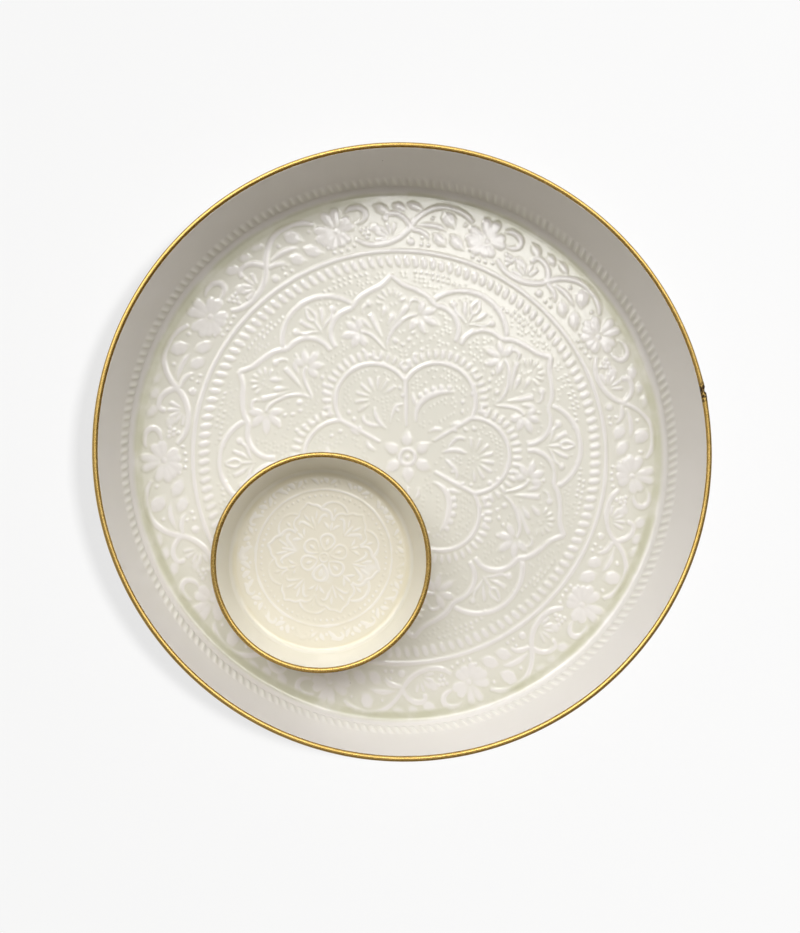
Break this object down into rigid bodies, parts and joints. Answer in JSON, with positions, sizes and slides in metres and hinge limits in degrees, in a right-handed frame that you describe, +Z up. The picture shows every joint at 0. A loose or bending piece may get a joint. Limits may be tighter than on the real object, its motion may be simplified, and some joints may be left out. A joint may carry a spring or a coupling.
{
  "type": "round serving tray",
  "caption": "Round deep-walled enamelled serving tray with an embossed floor and gilded rim, and a matching small dip dish that stands loose on the floor and lifts off.",
  "frame": {"origin": "middle of the tray's flat underside, on the surface it stands on", "axes": "+Z up out of the tray's mouth; the dish stands off centre toward -X and -Y"},
  "size_m": [0.3999, 0.4, 0.052],
  "materials": {
    "steel": "pressed sheet, bare only inside the coats",
    "tray_enamel": "glossy ivory vitreous enamel, greener where it pools",
    "dish_enamel": "glossy cream vitreous enamel",
    "gilding": "gilded and brushed along the rim"
  },
  "bodies": {
    "tray": {"tray_pan": "steel", "tray_rim_wire": "steel", "tray_inner_enamel": "tray_enamel", "tray_outer_enamel": "tray_enamel", "tray_rim_band": "gilding"},
    "dish": {"dish_pan": "steel", "dish_rim_wire": "steel", "dish_inner_enamel": "dish_enamel", "dish_outer_enamel": "dish_enamel", "dish_rim_band": "gilding"}
  },
  "joints": [
    {"name": "dish_lift", "type": "slide", "parent": "tray", "child": "dish", "axis": [0, 0, 1], "range_m": [0, 0.08]}
  ]
}
